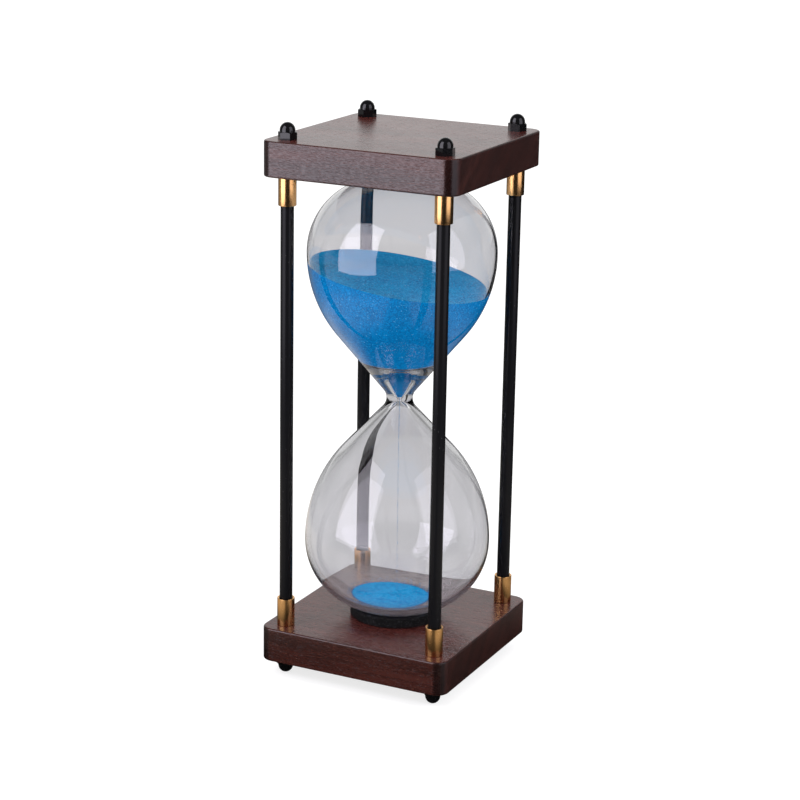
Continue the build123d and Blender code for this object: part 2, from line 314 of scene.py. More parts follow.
# ---- Finishes ----
@finish
def lacquered_mahogany(graph, colours, pith):
    """Mahogany with its grain along X. pith is the (Y, Z) of the log's heart beside this board."""
    place = graph.place()
    along, across, up = graph.split(place)
    normal_x, _, normal_z = graph.split(graph.place("Normal"))
    endwise, upward = abs(normal_x), abs(normal_z)
    end_grain = graph.fade(endwise, 0.55, 0.9)
    level = graph.fade(upward, 0.3, 0.9)
    side = (1 - level) * (1 - end_grain)
    corner = graph.fade(endwise, 0.06, 0.30) * (1 - graph.fade(endwise, 0.80, 0.97))
    sanded = graph.fade(upward, 0.12, 0.5) * (1 - graph.fade(upward, 0.8, 0.995))
    from_pith = ((across - pith[0]) ** 2 + (up - pith[1]) ** 2) ** 0.5

    figure = graph.streaks(along * 9, from_pith * 110, across * 12, 3.0)
    rings = graph.streaks(along * 22, from_pith * 720, across * 30, 3.0, 0.6)
    pore = graph.fade(graph.streaks(along * 170, across * 2300, up * 2300, rough=0.6), 0.56, 0.70)
    slope = graph.streaks(across * 560 - up * 560, across * 90, along * 60)
    flecks = graph.streaks(along * 420, across * 420, up * 1900, rough=0.6)
    ripple = graph.streaks(along * 400, across * 400, up * 2300 + along * 260, 1.0)
    streak = graph.streaks(along * 60, across * 1300, up * 60)
    chips = graph.fade(graph.clouds(place, 900, 3.0, 0.7), 0.60, 0.74)
    haze = graph.clouds(place, 55, 3.0)

    # Painted highlights: pale flecks on the long side faces.
    painted_highlights = graph.fade(flecks, 0.58, 0.70) * (1 - level) * (1 - end_grain) * (1 - corner)
    wood = colours.wood
    # Each row lays a colour over the wood: figure and pores, end grain, painted shade on the
    # rounded corners, painted light on the wide faces, wear on the sanded edges, and painted
    # highlights in pale flecks.
    for cover, layer_colour, *how in (
            (graph.fade(figure * 0.55 + rings * 0.45, 0.36, 0.66), colours.wood_dark),
            (pore * 0.55, colours.wood_dark),
            (end_grain * (0.12 + graph.fade(slope, 0.42, 0.60) * 0.65), colours.wood_dark),
            # Painted shade on the rounded upright corners.
            (corner * (1 - level) * 0.8, colours.wood_corner_painted_shade),
            # Painted light on the wide faces.
            (graph.fade(upward, 0.93, 0.995) * 0.75, colours.wood_level_painted_light, "ADD"),
            (sanded * chips * 0.5, colours.wood_wear_and_highlight),
            # Painted highlights in pale flecks.
            (painted_highlights * 0.5, colours.wood_wear_and_highlight)):
        wood = graph.blend(cover, wood, layer_colour, *how)
    height = ripple * side + slope * end_grain * 0.3 + streak * level * 0.26 - pore * 0.20
    graph.surface({
        "Base Color": wood,
        "Roughness": (0.22 - side * 0.08 + corner * 0.05 + haze * 0.07 + end_grain * 0.14
                      + pore * 0.10),
        "Coat Weight": side * (1 - corner) * graph.fade(ripple, 0.46, 0.56) * 0.42,
        "Coat Roughness": 0.10,
        "Normal": graph.bump(height, 0.13 * mm, 0.9),
    })


@finish
def polished_brass(graph, colours):
    place = graph.place()
    along, across, up = graph.split(place)
    drawn = graph.streaks(along * 3200, across * 3200, up * 60)
    tarnish = graph.clouds(place, 160, 4.0, 0.6)
    speck = graph.fade(graph.cells(place, 620).output("Distance"), 0.12, 0.05)
    red, green, blue = colours.brass
    tint = graph.blend(tarnish, colours.brass, (red * 0.9, green * 0.82, blue * 0.7, 1.0))
    graph.surface({
        "Base Color": graph.blend(speck * 0.5, tint, colours.brass_speck),
        "Metallic": 1.0,
        "Roughness": 0.19 + tarnish * 0.08 + speck * 0.2,
        "Normal": graph.bump(drawn, 0.010 * mm, 0.6),
    })


@finish
def satin_tube(graph, colours):
    place = graph.place()
    along, across, up = graph.split(place)
    orange_peel = graph.clouds(place, 900)
    scuffs = graph.fade(graph.streaks(along * 900, across * 900, up * 140, 3.0, 0.7), 0.66, 0.80)
    specks = graph.fade(graph.cells(place, 420).output("Distance"), 0.10, 0.05)
    dust = specks * graph.fade(graph.clouds(place, 60), 0.50, 0.62)
    paint = graph.blend(scuffs * 0.25, colours.tube, colours.tube_scuff)
    graph.surface({
        "Base Color": graph.blend(dust * 0.4, paint, colours.dust),
        "Roughness": 0.20 + orange_peel * 0.06 + scuffs * 0.12,
        "Specular IOR Level": 0.13,
        "Normal": graph.bump(orange_peel, 0.012 * mm, 0.6),
    })


@finish
def gloss_nut(graph, colours):
    place = graph.place()
    orange_peel = graph.clouds(place, 700)
    rubs = graph.fade(graph.clouds(place, 1500, 3.0, 0.7), 0.62, 0.76)
    graph.surface({
        "Base Color": graph.blend(rubs * 0.3, colours.nut, colours.nut_rub),
        "Roughness": 0.07 + orange_peel * 0.05 + rubs * 0.12,
        "Normal": graph.bump(orange_peel, 0.02 * mm, 0.5),
    })


@finish
def zinc_thread(graph, colours):
    """Zinc-plated M5 thread about Z."""
    place = graph.place()
    pitch = 0.8 * mm
    turns = graph.split(place)[2] * (1 / pitch)
    haze = graph.clouds(place, 300, 3.0)
    graph.surface({
        "Base Color": graph.blend(haze, colours.steel, colours.steel_dull),
        "Metallic": 1.0,
        "Roughness": 0.30 + haze * 0.15,
        "Normal": graph.bump(turns.math("PINGPONG", turns, 0.5), pitch / 2),
    })


@finish
def closed_foam(graph, colours):
    place = graph.place()
    granules = graph.cells(place, 2400)
    fleck = graph.fade(graph.split(granules)[0], 0.82, 0.97)
    height = 1 - granules.output("Distance") + graph.clouds(place, 700, 3.0)
    graph.surface({
        "Base Color": graph.blend(fleck, colours.foam, colours.foam_fleck),
        "Roughness": 0.88,
        "Specular IOR Level": 0.25,
        "Normal": graph.bump(height, 0.14 * mm, 0.9),
    })


@finish
def dyed_sand(graph, colours, grain):
    """Sand whose grains each have a depth of dye of their own. Sand that faces up gets a lighter
    colour: painted light from above.
    """
    place = graph.place()
    cells = graph.cells(place, 1 / grain)
    red, green, blue = graph.split(cells)
    deep = graph.fade(red * 0.75 + graph.clouds(place, 90, 3.0) * 0.5, 0.35, 0.95)
    # Painted highlights: the glinting grains get a lighter colour, and also a lower roughness.
    glint = graph.fade(green, 0.955, 0.985)
    # Painted light: the mask of sand that faces up.
    painted_top_light = graph.fade(graph.split(graph.place("Normal"))[2], 0.6, 0.9)
    dye = graph.blend(deep, colours.sand, colours.sand_dark)
    dye = graph.blend(painted_top_light * (1 - deep * 0.95), dye, colours.sand_top_painted_light)
    graph.surface({
        "Base Color": graph.blend(glint * (0.08 + blue * 0.50), dye, colours.sand_painted_glint),
        "Roughness": 0.70 - glint * 0.40,
        "Specular IOR Level": 0.03,
        "Normal": graph.bump(1 - cells.output("Distance") + red * 0.6, 0.20 * mm, 0.9),
    })


@finish
def clear_glass(graph, colours):
    """Clear glass that lets soft light through to what is inside it, with a pale diffuse layer
    towards its sealed end that is partly haze and partly a painted reflection.
    """
    ray = graph.node("ShaderNodeLightPath", output="Is Shadow Ray")
    plain = ray.math("MAXIMUM", ray, ray.output("Is Diffuse Ray"))
    solid = graph.node("ShaderNodeBsdfPrincipled", sockets={
        "Base Color": colours.glass,
        "Roughness": 0.0,
        "IOR": 1.48,
        "Transmission Weight": 1.0,
    })
    open_way = graph.node("ShaderNodeBsdfTransparent", sockets={"Color": colours.glass_shade})
    # Towards the sealed end a pale diffuse layer is mixed in: partly haze, partly a painted
    # reflection of the light above.
    up = graph.split(graph.place())[2]
    haze = 1 - graph.fade(up, glass_low.z + 1 * mm, glass_low.z + 34 * mm)
    dull = graph.node("ShaderNodeBsdfDiffuse", sockets={"Color": colours.glass_haze_and_reflection})
    hazed_and_reflecting = graph.merge(haze ** 1.5 * 0.11, solid, dull)
    depth = graph.node("ShaderNodeVolumeAbsorption", sockets={
        "Color": colours.glass_depth, "Density": 40.0})
    graph.node("ShaderNodeOutputMaterial", sockets={
        "Surface": graph.merge(plain, hazed_and_reflecting, open_way), "Volume": depth})


@finish
def pale_floor(graph, colours):
    """Takes the object's shadow, is white to the eye, and has a lit ring for what reflects it."""
    x, y, _ = graph.split(graph.place())
    away = (x ** 2 + y ** 2) ** 0.5
    behind = graph.fade(depth_of(x, y), -0.2, 0.05)
    across = abs(x * back_y + y * back_x + 0.015)
    ray = graph.node("ShaderNodeLightPath", output="Is Camera Ray")
    glass = ray.output("Is Transmission Ray")
    gloss = ray.output("Is Glossy Ray") * (1 - glass)
    seen = ray + glass + gloss
    near = graph.fade(away, 0.085, 0.18)
    far = graph.fade(away, 0.15, 0.27)
    beyond = graph.fade(away, 0.30, 0.70)
    inner = 1 - graph.fade(away, 0.26, 0.45)
    lit = near * inner * (0.2 + graph.fade(across, 0.04, 0.08) * 0.8)
    left = graph.fade(0 - x, 0.0, 0.35)
    clear = 1 - graph.fade(x * 0.42 + y * 0.86, 0.05, 0.35)
    shine = ray * 1.25 + glass * (0.10 + behind * (0.18 + far * 0.12 + beyond * 0.08)) \
        + gloss * (0.015 + clear * (lit * 0.58 + far * left * 0.25))
    pale = graph.blend(glass, (1, 1, 1, 1), (1.0, 0.975, 1.01, 1.0))
    warmth = graph.blend(gloss * inner, pale, (1.0, 0.91, 0.80, 1.0))
    plain = graph.node("ShaderNodeBsdfDiffuse", sockets={"Color": colours.floor})
    glow = graph.node("ShaderNodeEmission", sockets={"Color": warmth, "Strength": shine})
    both = graph.merge(seen * (0.62 + gloss * 0.38), plain, glow)
    graph.node("ShaderNodeOutputMaterial", sockets={"Surface": both})


# ---- Mesh writing ----
def arc(centre, radius, start, sweep, count=20):
    """Points of an arc. start and sweep are in radians."""
    steps = [start + sweep * step / count for step in range(count + 1)]
    return [(centre[0] + radius * cos(turn), centre[1] + radius * sin(turn)) for turn in steps]


def around(turn, radius, height):
    """The place at a turn about the axis."""
    return radius * cos(turn), radius * sin(turn), height


def between(first, second, part):
    return tuple(a + (b - a) * part for a, b in zip(first, second))


def put(name, data):
    """A new object in the scene."""
    made = bpy.data.objects.new(name, data)
    bpy.context.scene.collection.objects.link(made)
    return made


def centre_of(low, high):
    return (low.x + high.x) / 2, (low.y + high.y) / 2


def rounded(points, radii, count=10):
    """A line through points whose inner corners are rounded with radii."""
    line = [points[0]]
    for before, corner, after, radius in zip(points, points[1:], points[2:], radii):
        middle = Vector(corner)
        back = (Vector(before) - middle).normalized()
        ahead = (Vector(after) - middle).normalized()
        half = back.angle(ahead) / 2
        reach = radius / tan(half)
        first, last = middle + back * reach, middle + ahead * reach
        centre = middle + (back + ahead).normalized() * (radius / sin(half))
        begin, end = first - centre, last - centre
        start = atan2(begin.y, begin.x)
        sweep = (atan2(end.y, end.x) - start + pi) % (2 * pi) - pi
        line += arc(centre, radius, start, sweep, count)
    return line + [points[-1]]


def spaced(points, spacing):
    """The same line, without doubled points and with none further apart than spacing."""
    line = [points[0]]
    for goal in points[1:]:
        start = line[-1]
        span = hypot(goal[0] - start[0], goal[1] - start[1])
        if span < 1e-7:
            continue
        count = max(1, round(span / spacing + 0.49))
        line += [between(start, goal, step / count) for step in range(1, count + 1)]
    return line


def skin(rings, inward=False):
    """Faces between rings of vertex numbers. A ring of one number is a point on the axis."""
    faces = []
    for lower, upper in zip(rings, rings[1:]):
        count = max(len(lower), len(upper))
        for here in range(count):
            ahead = (here + 1) % count
            face = [lower[here % len(lower)], lower[ahead % len(lower)],
                    upper[ahead % len(upper)], upper[here % len(upper)]]
            face = list(dict.fromkeys(face))
            faces.append(face[::-1] if inward else face)
    return faces


def turns_of(count):
    """Even turns about the axis."""
    return [2 * pi * step / count for step in range(count)]


def numbered(lines, first=0):
    """Vertices from lines of points, and each line's numbers, from first on."""
    points, rings = [], []
    for line in lines:
        start = first + len(points)
        rings.append(list(range(start, start + len(line))))
        points += line
    return points, rings


def turned(profile, turns, stray=lambda turn, radius, height: 0.0, first=0):
    """Vertices and rings of a (radius, height) profile turned about the axis.

    stray gives how far a point moves out, and first numbers the first vertex.
    """
    lines = []
    for radius, height in profile:
        if radius < 1e-8:
            lines.append([(0.0, 0.0, height)])
        else:
            lines.append([around(turn, radius + stray(turn, radius, height), height)
                          for turn in turns_of(turns)])
    return numbered(lines, first)


def add_piece(name, points, faces, coat, replaces=()):
    """A shown mesh that rides on the part and stands for some of its solids."""
    mesh = bpy.data.meshes.new(name)
    mesh.from_pydata(points, [], faces)
    mesh.materials.append(coat)
    mesh.polygons.foreach_set("use_smooth", [True] * len(mesh.polygons))
    if mesh.validate():
        raise RuntimeError(f"{name} has faces that can't be drawn")
    piece = put(name, mesh)
    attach(piece, "root")
    if replaces:
        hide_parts(*replaces)
    return piece


def dress(names, coat):
    """Gives solids of the part a finish."""
    for name in names:
        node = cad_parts[name]
        if not node.material_slots:
            node.data.materials.append(coat)
        for slot in node.material_slots:
            slot.material = coat


# ---- The glass's lines, as (radius, height over the waist) ----
def belly(side, foot, radius, slope, sizes, grow=0.0):
    """The arc from the cone through foot to upright at the bulb's widest place."""
    spare = (sizes.flank_height - foot[1]) * tan(slope) - (radius - foot[0])
    curve = spare / (1 / cos(slope) - 1)
    centre = (radius - curve, side * sizes.flank_height)
    return arc(centre, curve + grow, -side * slope, side * slope, 36)


def flank(side, start, opening, radius, slope, sizes, grow=0.0):
    """From upright at the waist, through a cone, to the widest place."""
    middle = start + opening
    foot = (middle - opening * cos(slope), opening * sin(slope))
    return arc((middle, 0), opening - grow, pi, -side * slope, 14) \
        + belly(side, foot, radius, slope, sizes, grow)


def shoulder_radii(radius, rise, fullness):
    """Radii of a shoulder's two arcs, and the turn from upright at which they meet."""
    span = rise + fullness * radius
    root = sqrt(span ** 2 + 2 * fullness * (radius ** 2 + rise ** 2))
    upright = (root - span) / (2 * fullness)
    level = fullness * upright
    turn = atan2(radius - level, rise - upright)
    return upright / tan(turn / 2), level / tan(pi / 4 - turn / 2), turn


def shoulder(side, radius, rise, sizes, grow=0.0):
    """Two arcs from the widest place to the bulb's end on the axis."""
    round_radius, crown_radius, turn = shoulder_radii(radius, rise, sizes.shoulder_fullness)
    crown_centre = (0, side * (sizes.flank_height + rise - crown_radius))
    line = arc((radius - round_radius, side * sizes.flank_height), round_radius + grow,
               0, side * turn, 30)
    line += arc(crown_centre, crown_radius + grow, side * turn, side * (pi / 2 - turn), 30)
    return line[:-1] + [(0.0, line[-1][1])]


def outside(side, sizes):
    """A bulb's outside, from the waist to its end."""
    slope = sizes.upper_flank if side > 0 else sizes.lower_flank
    return flank(side, sizes.waist / 2, sizes.neck, bulb_radius, slope, sizes) \
        + shoulder(side, bulb_radius, half_length - sizes.flank_height, sizes)


def cavity_rise(side, sizes):
    """From a bulb's widest place to its cavity's end."""
    end = sizes.upper_end if side > 0 else sizes.lower_end
    return half_length - sizes.flank_height - end


def upper_inside(sizes, grow=0.0):
    """The upper cavity with its funnel, from the pinch. grow moves the line outwards."""
    slope = sizes.upper_flank
    mouth = sizes.funnel_mouth / 2 + grow
    floor_height = sizes.funnel_depth - grow
    floor_edge = sizes.floor_width / 2 + grow * (1 - sin(slope)) / cos(slope)
    radius = bulb_radius - sizes.wall
    side_arc = belly(1, (sizes.floor_width / 2, sizes.funnel_depth), radius, slope, sizes, grow)
    line = rounded(
        [(sizes.pinch / 2 + grow, 0), (mouth, sizes.funnel_elbow), (mouth, floor_height),
         (floor_edge, floor_height), side_arc[0]],
        (sizes.funnel_elbow_radius, sizes.funnel_lip, sizes.floor_fillet))
    return line + side_arc + shoulder(1, radius, cavity_rise(1, sizes), sizes, grow)


def lower_inside(sizes, grow=0.0):
    """The lower cavity, from the pinch."""
    radius = bulb_radius - sizes.wall
    return flank(-1, sizes.pinch / 2, sizes.throat, radius, sizes.lower_flank, sizes, grow) \
        + shoulder(-1, radius, cavity_rise(-1, sizes), sizes, grow)


def raised(line):
    """A line of the glass at its place in the part."""
    return [(radius, height + waist_height) for radius, height in line]


def blown(seed, amount):
    """How far a hand-blown surface strays from round, as a sum of slow waves."""
    draw = Random(seed)
    waves = [(lobes, draw.uniform(25, 75), draw.uniform(0, 2 * pi), draw.uniform(0.5, 1.0))
             for lobes in (2, 3, 3, 4, 5)]

    def stray(turn, radius, height):
        swing = sum(size * sin(lobes * turn + (height - waist_height) * pitch + phase)
                    for lobes, pitch, phase, size in waves)
        near_axis = min(1.0, radius / (20 * mm)) ** 2
        return amount * 0.4 * swing * near_axis

    return stray


# ---- The pieces ----
def outline(half, radius, support):
    """A rounded square, with a point just beyond each end of each corner."""
    line = []
    for quarter in range(4):
        turn = quarter * pi / 2
        spin = Matrix.Rotation(turn, 2)
        reach = half - radius
        turned_corner = arc((reach, reach), radius, 0, pi / 2, 14)
        line += [spin @ Vector(point) for point in (
            (half, reach - support), *turned_corner, (reach - support, half))]
    return line


def add_plate(name, node, low, high, sizes, wood):
    """A board with round corners, sanded edges and a hole for each rod."""
    half = (high.x - low.x) / 2
    edge = sizes.edge
    edge_steps = 5
    support = 0.4 * mm
    levels = [(edge + support, 0.0)]
    levels += [(edge * (1 - sin(turn)), edge * (1 - cos(turn)))
               for turn in (pi / 2 * step / edge_steps for step in range(edge_steps + 1))]
    levels += [(0.0, edge + support)]
    levels += [(inset, high.z - low.z - height) for inset, height in reversed(levels)]
    rounds = [[(x, y, low.z + height)
               for x, y in outline(half - inset, sizes.corner - inset, support)]
              for inset, height in levels]
    for corner in corners:
        middle = centre_of(*boxes[f"post_{corner}"])
        circle = arc(middle, sizes.rod_hole / 2, 0, 2 * pi, 32)[:-1]
        rounds += [[(x, y, z) for x, y in circle] for z in (low.z, high.z)]
    points, rings = numbered(rounds)
    sides, bottoms, tops = rings[:len(levels)], rings[len(levels)::2], rings[len(levels) + 1::2]
    faces = skin(sides)
    for bottom, top in zip(bottoms, tops):
        faces += skin([top, bottom])
    work = bmesh.new()
    points = [work.verts.new(point) for point in points]
    for face in faces:
        work.faces.new([points[number] for number in face])
    for loops, facing in (([sides[0], *bottoms], -1), ([sides[-1], *tops], 1)):
        edges = [work.edges.get((points[here], points[ahead])) for loop in loops
                 for here, ahead in zip(loop, loop[1:] + loop[:1])]
        bmesh.ops.triangle_fill(work, use_beauty=True, use_dissolve=False, edges=edges,
                                normal=(0, 0, facing))
    bmesh.ops.recalc_face_normals(work, faces=work.faces)
    work.verts.index_update()
    points = [tuple(vertex.co) for vertex in work.verts]
    faces = [[vertex.index for vertex in face.verts] for face in work.faces]
    work.free()
    plate = add_piece(name, points, faces, wood, [node])
    for face in plate.data.polygons:
        face.use_smooth = abs(face.normal.z) < 0.999


class HOURGLASS_OT_plates(bpy.types.Operator):
    """Make the two lacquered mahogany plates, with sanded edges and holes for the rods"""

    bl_idname = "hourglass.plates"
    bl_label = "Wooden plates"

    def execute(self, context):
        sizes = context.scene.hourglass_frame
        colours = context.scene.hourglass_colours
        for name, node, pith_height in (("wooden_base", "base_plate", -0.070),
                                        ("wooden_top", "top_plate", -0.105)):
            low, high = boxes[node]
            pith = (0.085, (low.z + high.z) / 2 + pith_height)
            wood = lacquered_mahogany(colours, pith, name=f"mahogany_{node}")
            add_plate(name, node, low, high, sizes, wood)
        return {"FINISHED"}


class HOURGLASS_OT_glass(bpy.types.Operator):
    """Blow the glass: its outside and its two joined cavities, in one piece"""

    bl_idname = "hourglass.glass"
    bl_label = "Blown glass"

    def execute(self, context):
        sizes = context.scene.hourglass_glass
        colours = context.scene.hourglass_colours
        outer = outside(-1, sizes)[::-1] + outside(1, sizes)[1:]
        inner = lower_inside(sizes)[::-1] + upper_inside(sizes)[1:]
        spacing = 2.5 * mm
        shell, shell_rings = turned(raised(spaced(outer, spacing)), sizes.turns,
                                    blown(11, sizes.waviness))
        hollow, hollow_rings = turned(raised(spaced(inner, spacing)), sizes.turns,
                                      blown(29, sizes.waviness), len(shell))
        faces = skin(shell_rings) + skin(hollow_rings, inward=True)
        add_piece("blown_glass", shell + hollow, faces, clear_glass(colours), ["glass"])
        return {"FINISHED"}


def crumbled(point, low, high):
    """The point, moved as the cut foam's granules move it, and never above or below the pad."""
    depth = 0.07 * mm
    place = Vector(point)
    coarse = noise.noise(place * 900) + 0.6 * noise.noise(place * 2100)
    out = Vector((place.x, place.y, 0))
    if out.length < 1 * mm:
        return point
    sunk = depth * (coarse - 0.9)
    moved = place + out.normalized() * sunk
    upward = 1 if place.z > (low.z + high.z) / 2 else -1
    moved.z = min(max(place.z + sunk * upward, low.z), high.z)
    return tuple(moved)


class HOURGLASS_OT_pads(bpy.types.Operator):
    """Cut the two foam pads, each dished for a bulb's end"""

    bl_idname = "hourglass.pads"
    bl_label = "Foam pads"

    def execute(self, context):
        sizes = context.scene.hourglass_frame
        glass = context.scene.hourglass_glass
        colours = context.scene.hourglass_colours
        _, crown, _ = shoulder_radii(bulb_radius, half_length - glass.flank_height,
                                     glass.shoulder_fullness)
        slope = asin(sizes.pad_seat / 2 / crown)
        spacing, turns = 0.7 * mm, 200
        for name, node, facing in (("foam_pad_lower", "lower_pad", 1),
                                   ("foam_pad_upper", "upper_pad", -1)):
            low, high = boxes[node]
            radius, thickness = (high.x - low.x) / 2, high.z - low.z
            dish = crown * tan(slope / 2)
            rim = dish + (thickness - sizes.pad_floor) / tan(slope)
            line = rounded(
                [(0, 0), (radius, 0), (radius, thickness), (rim, thickness),
                 (dish, sizes.pad_floor), (0, sizes.pad_floor)],
                (sizes.pad_edge, sizes.pad_edge, sizes.pad_edge * 0.6, sizes.pad_edge), 4)
            seat = low.z if facing > 0 else high.z
            line = [(r, seat + facing * z) for r, z in spaced(line, spacing)]
            points, rings = turned(line, turns)
            points = [crumbled(point, low, high) for point in points]
            pad = add_piece(name, points, skin(rings, inward=facing < 0), closed_foam(colours),
                            [node])
        return {"FINISHED"}


def uneven(x, y, amount):
    """A settled surface's unevenness: slow swells, and grains that stand proud."""
    swell = noise.noise(Vector((x * 70, y * 70, 3.1)))
    pits = noise.noise(Vector((x * 900, y * 900, 7.7)))
    return amount * (1.6 * swell + pits)


def fill_upper(glass, sizes, dyed):
    """Sand in the funnel and the upper bulb, up to a tilted surface."""
    turns, wall_rings, surface_rings, spacing = 220, 150, 64, 0.8 * mm
    pressed_from = 2 * mm
    wall = []
    for radius, height in spaced(upper_inside(glass, -sizes.gap), spacing):
        part = min(1.0, max(0.0, (height - glass.funnel_depth) / pressed_from))
        spare = (sizes.gap + sizes.press) * part
        wall.append((radius + spare / cos(glass.upper_flank), height))
    start = boxes["upper_sand"][0].z - waist_height
    while wall[1][1] < start:
        wall.pop(0)
    part = (start - wall[0][1]) / (wall[1][1] - wall[0][1])
    wall[0] = between(wall[0], wall[1], part)
    columns = []
    for turn in turns_of(turns):
        lean = cos(turn - sizes.uphill) * tan(sizes.tilt)
        line = [wall[0]]
        for here, ahead in zip(wall, wall[1:]):
            over_here, over_ahead = (height - sizes.level - radius * lean
                                     for radius, height in (here, ahead))
            if over_ahead >= 0:
                line.append(between(here, ahead, over_here / (over_here - over_ahead)))
                break
            line.append(ahead)
        columns.append((turn, lean, divided(line, wall_rings)))
    rounds = [[around(turn, line[ring][0], waist_height + line[ring][1])
               for turn, _, line in columns] for ring in range(wall_rings + 1)]
    for ring in range(1, surface_rings):
        rounds.append([])
        for turn, lean, line in columns:
            radius = line[-1][0] * (1 - ring / surface_rings)
            x, y, height = around(turn, radius, sizes.level + radius * lean)
            height += uneven(x, y, sizes.roughness)
            rounds[-1].append((x, y, waist_height + height))
    foot, top = [(0.0, 0.0, waist_height + start)], [(0.0, 0.0, waist_height + sizes.level)]
    points, rings = numbered([foot, *rounds, top])
    add_piece("sand_upper", points, skin(rings), dyed, ["upper_sand"])


def divided(line, count):
    """count + 1 points at even distances along a line."""
    marks = [0.0]
    for (x, y), (next_x, next_y) in zip(line, line[1:]):
        marks.append(marks[-1] + hypot(next_x - x, next_y - y))
    made, at = [], 0
    for step in range(count + 1):
        goal = marks[-1] * step / count
        while at < len(marks) - 2 and marks[at + 1] < goal:
            at += 1
        part = (goal - marks[at]) / (marks[at + 1] - marks[at])
        made.append(between(line[at], line[at + 1], part))
    return made


def bowl(glass, sizes, radius):
    """Height of the lower bulb's floor at a radius, the sand pressed into it."""
    rise = cavity_rise(-1, glass)
    _, crown, _ = shoulder_radii(bulb_radius - glass.wall, rise, glass.shoulder_fullness)
    centre = waist_height - glass.flank_height - rise + crown
    return centre - sqrt((crown + sizes.press) ** 2 - radius ** 2)


def heap(glass, sizes, x, y):
    """Height of the lower pile's surface, a cone with a blunt top."""
    top = waist_height - glass.flank_height - cavity_rise(-1, glass) + sizes.pile_height
    away = hypot(x - sizes.pile_offset * cos(sizes.pile_side),
                 y - sizes.pile_offset * sin(sizes.pile_side))
    rounding, raising = 2.5 * mm, 1.0 * mm
    return top - (sqrt(away ** 2 + rounding ** 2) - raising) * tan(sizes.pile_slope)


def heap_lower(glass, sizes, dyed):
    """The pile in the lower bulb. Gives the radius of its rim at each turn."""
    turns, under_rings, surface_rings = 160, 14, 44
    least, most, halvings = 5 * mm, 26 * mm, 40
    ragged, tucked = 0.35 * mm, 0.3 * mm
    rims = []
    for turn in turns_of(turns):
        low, high = least, most
        for _ in range(halvings):
            radius = (low + high) / 2
            over = heap(glass, sizes, radius * cos(turn), radius * sin(turn)) \
                - bowl(glass, sizes, radius)
            low, high = (radius, high) if over > 0 else (low, radius)
        swell = noise.noise(Vector((cos(turn) * 6, sin(turn) * 6, 1.3)))
        rims.append((turn, low + ragged * swell - tucked))
    rounds = [[around(turn, rim * ring / under_rings,
                      bowl(glass, sizes, rim * ring / under_rings))
               for turn, rim in rims] for ring in range(1, under_rings + 1)]
    for ring in range(1, surface_rings):
        part = 1 - ring / surface_rings
        rounds.append([])
        for turn, rim in rims:
            x, y, under = around(turn, rim * part, bowl(glass, sizes, rim * part))
            surface = heap(glass, sizes, x, y) \
                + uneven(x, y, sizes.roughness * min(1.0, (1 - part) * 12))
            rounds[-1].append((x, y, max(surface, under + 0.02 * mm)))
    foot = [(0.0, 0.0, bowl(glass, sizes, 0.0))]
    top = [(0.0, 0.0, heap(glass, sizes, 0.0, 0.0))]
    points, rings = numbered([foot, *rounds, top])
    add_piece("sand_lower", points, skin(rings), dyed, ["lower_sand"])
    return rims


def grains(spots, draw):
    """Little eight-sided grains at (x, y, z, half width)."""
    points, faces = [], []
    for x, y, z, size in spots:
        first = len(points)
        for axis in ((1, 0, 0), (0, 1, 0), (-1, 0, 0), (0, -1, 0), (0, 0, 1), (0, 0, -1)):
            reach = size * draw.uniform(0.75, 1.1)
            points.append(tuple(c + reach * a + size * draw.uniform(-0.2, 0.2)
                                for c, a in zip((x, y, z), axis)))
        for here in range(4):
            ahead = (here + 1) % 4
            faces.append((first + here, first + ahead, first + 4))
            faces.append((first + ahead, first + here, first + 5))
    return points, faces


def scatter(glass, sizes, dyed, rims):
    """Single grains that rolled off the pile's rim on to the glass."""
    count, rolled, within, furthest = 900, 1.0 * mm, 0.6 * mm, 25 * mm
    draw = Random(5)
    spots = []
    for _ in range(count):
        turn, rim = rims[draw.randrange(len(rims))]
        radius = rim + draw.expovariate(1 / rolled) - within
        if radius > furthest:
            continue
        size = sizes.grain * draw.uniform(0.3, 0.5)
        height = bowl(glass, sizes, radius) + sizes.press + size
        spots.append((*around(turn, radius, height), size))
    points, faces = grains(spots, draw)
    add_piece("stray_grains", points, faces, dyed)


def pour(sizes, dyed):
    """The thin stream of falling grains, which spreads as it falls."""
    count = 360
    draw = Random(17)
    low, high = boxes["sand_stream"]
    reach = (high.x - low.x) / 2
    spots = []
    for _ in range(count):
        fallen = draw.random() ** 1.4
        z = high.z - (high.z - low.z) * fallen
        spread = reach * (0.25 + 0.6 * fallen) * sqrt(draw.random())
        turn = draw.uniform(0, 2 * pi)
        size = sizes.grain * draw.uniform(0.22, 0.38)
        spots.append((*around(turn, spread, z), size))
    points, faces = grains(spots, draw)
    add_piece("falling_sand", points, faces, dyed, ["sand_stream"])


class HOURGLASS_OT_sand(bpy.types.Operator):
    """Fill the upper bulb, heap the lower pile and let the sand run between them"""

    bl_idname = "hourglass.sand"
    bl_label = "Sand"

    def execute(self, context):
        glass = context.scene.hourglass_glass
        sizes = context.scene.hourglass_sand
        dyed = dyed_sand(context.scene.hourglass_colours, sizes.grain)
        fill_upper(glass, sizes, dyed)
        rims = heap_lower(glass, sizes, dyed)
        scatter(glass, sizes, dyed, rims)
        pour(sizes, dyed)
        return {"FINISHED"}


def add_tube(name, node, wall, edge, coat):
    """A round tube with softened rims, in the place of a solid."""
    low, high = boxes[node]
    outer = (high.x - low.x) / 2
    x, y = centre_of(low, high)
    line = [(outer, low.z + edge), (outer, high.z - edge)]
    line += arc((outer - edge, high.z - edge), edge, 0, pi / 2, 4)[1:]
    line += [(outer - wall, high.z), (outer - wall, low.z), (outer - edge, low.z)]
    line += arc((outer - edge, low.z + edge), edge, -pi / 2, pi / 2, 4)[1:-1]
    points, rings = turned(line, 96)
    points = [(px + x, py + y, pz) for px, py, pz in points]
    add_piece(name, points, skin(rings + rings[:1]), coat, [node])


